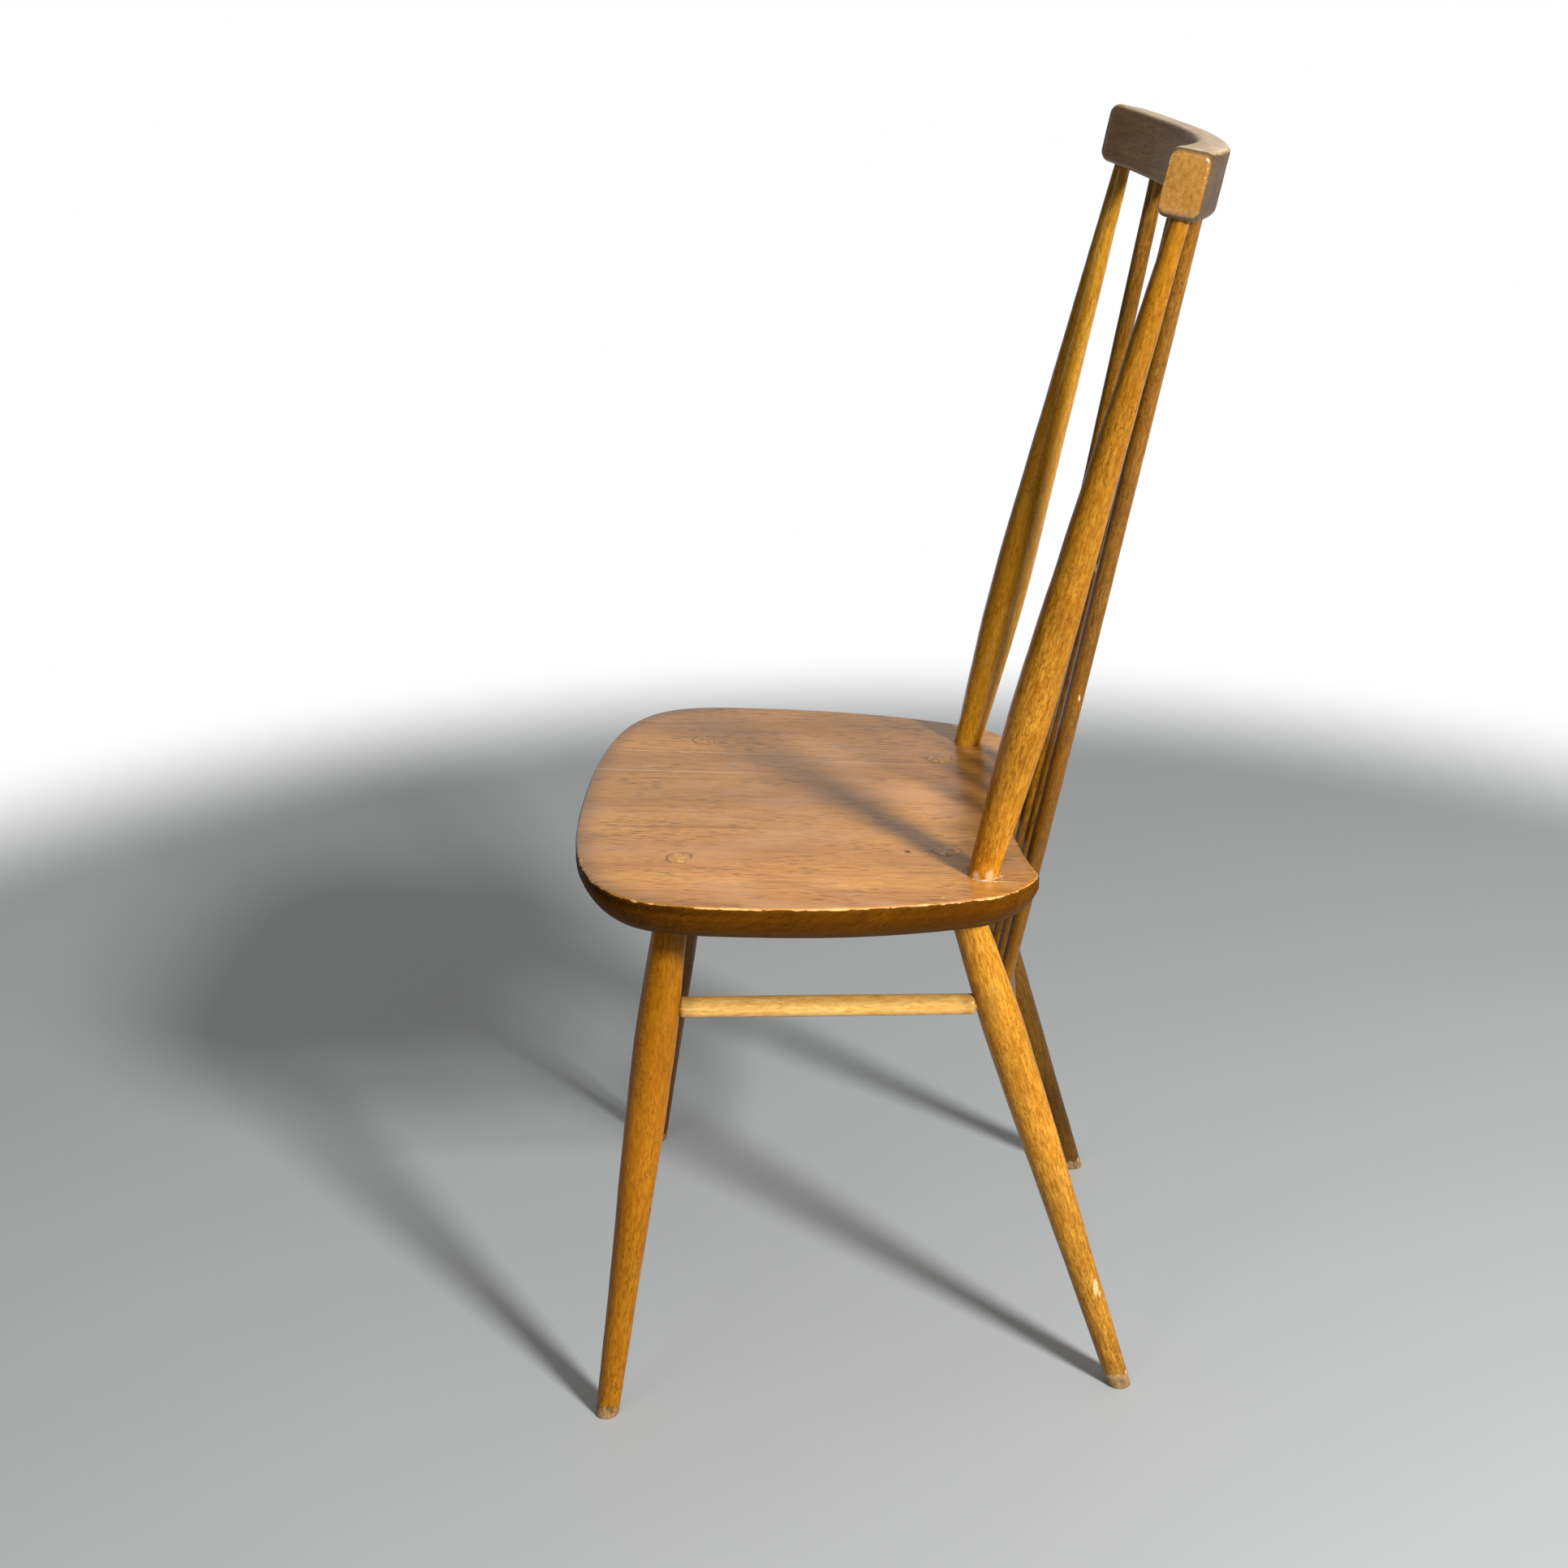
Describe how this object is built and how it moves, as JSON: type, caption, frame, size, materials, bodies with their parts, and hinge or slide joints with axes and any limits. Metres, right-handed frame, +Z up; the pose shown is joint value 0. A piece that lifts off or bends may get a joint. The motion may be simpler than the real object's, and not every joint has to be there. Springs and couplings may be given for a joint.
{
  "type": "stick-back wooden chair",
  "caption": "Tall stick-back wooden chair: a rounded board seat on splayed turned legs, its slim sticks and turned posts held under a curved comb rail, in worn varnish.",
  "frame": {"origin": "on the floor, under the middle of the chair's width and of its overall depth", "axes": "+Z up; -Y is the front, the way the chair faces; +X is the sitter's left"},
  "size_m": [0.4408, 0.476, 0.9428],
  "materials": {
    "seat_board": "satin",
    "turned_beech": "satin",
    "comb": "satin",
    "wedge": "matte"
  },
  "bodies": {
    "root": {"seat": "seat_board", "comb_rail": "comb", "back_post_left": "turned_beech", "back_post_right": "turned_beech", "back_stick_1": "turned_beech", "back_stick_2": "turned_beech", "back_stick_3": "turned_beech", "back_stick_4": "turned_beech", "front_leg_left": "turned_beech", "front_leg_right": "turned_beech", "rear_leg_left": "turned_beech", "rear_leg_right": "turned_beech", "front_wedge_left": "wedge", "front_wedge_right": "wedge", "rear_wedge_left": "wedge", "rear_wedge_right": "wedge", "side_stretcher_left": "turned_beech", "side_stretcher_right": "turned_beech", "rear_stretcher": "turned_beech"}
  },
  "joints": []
}
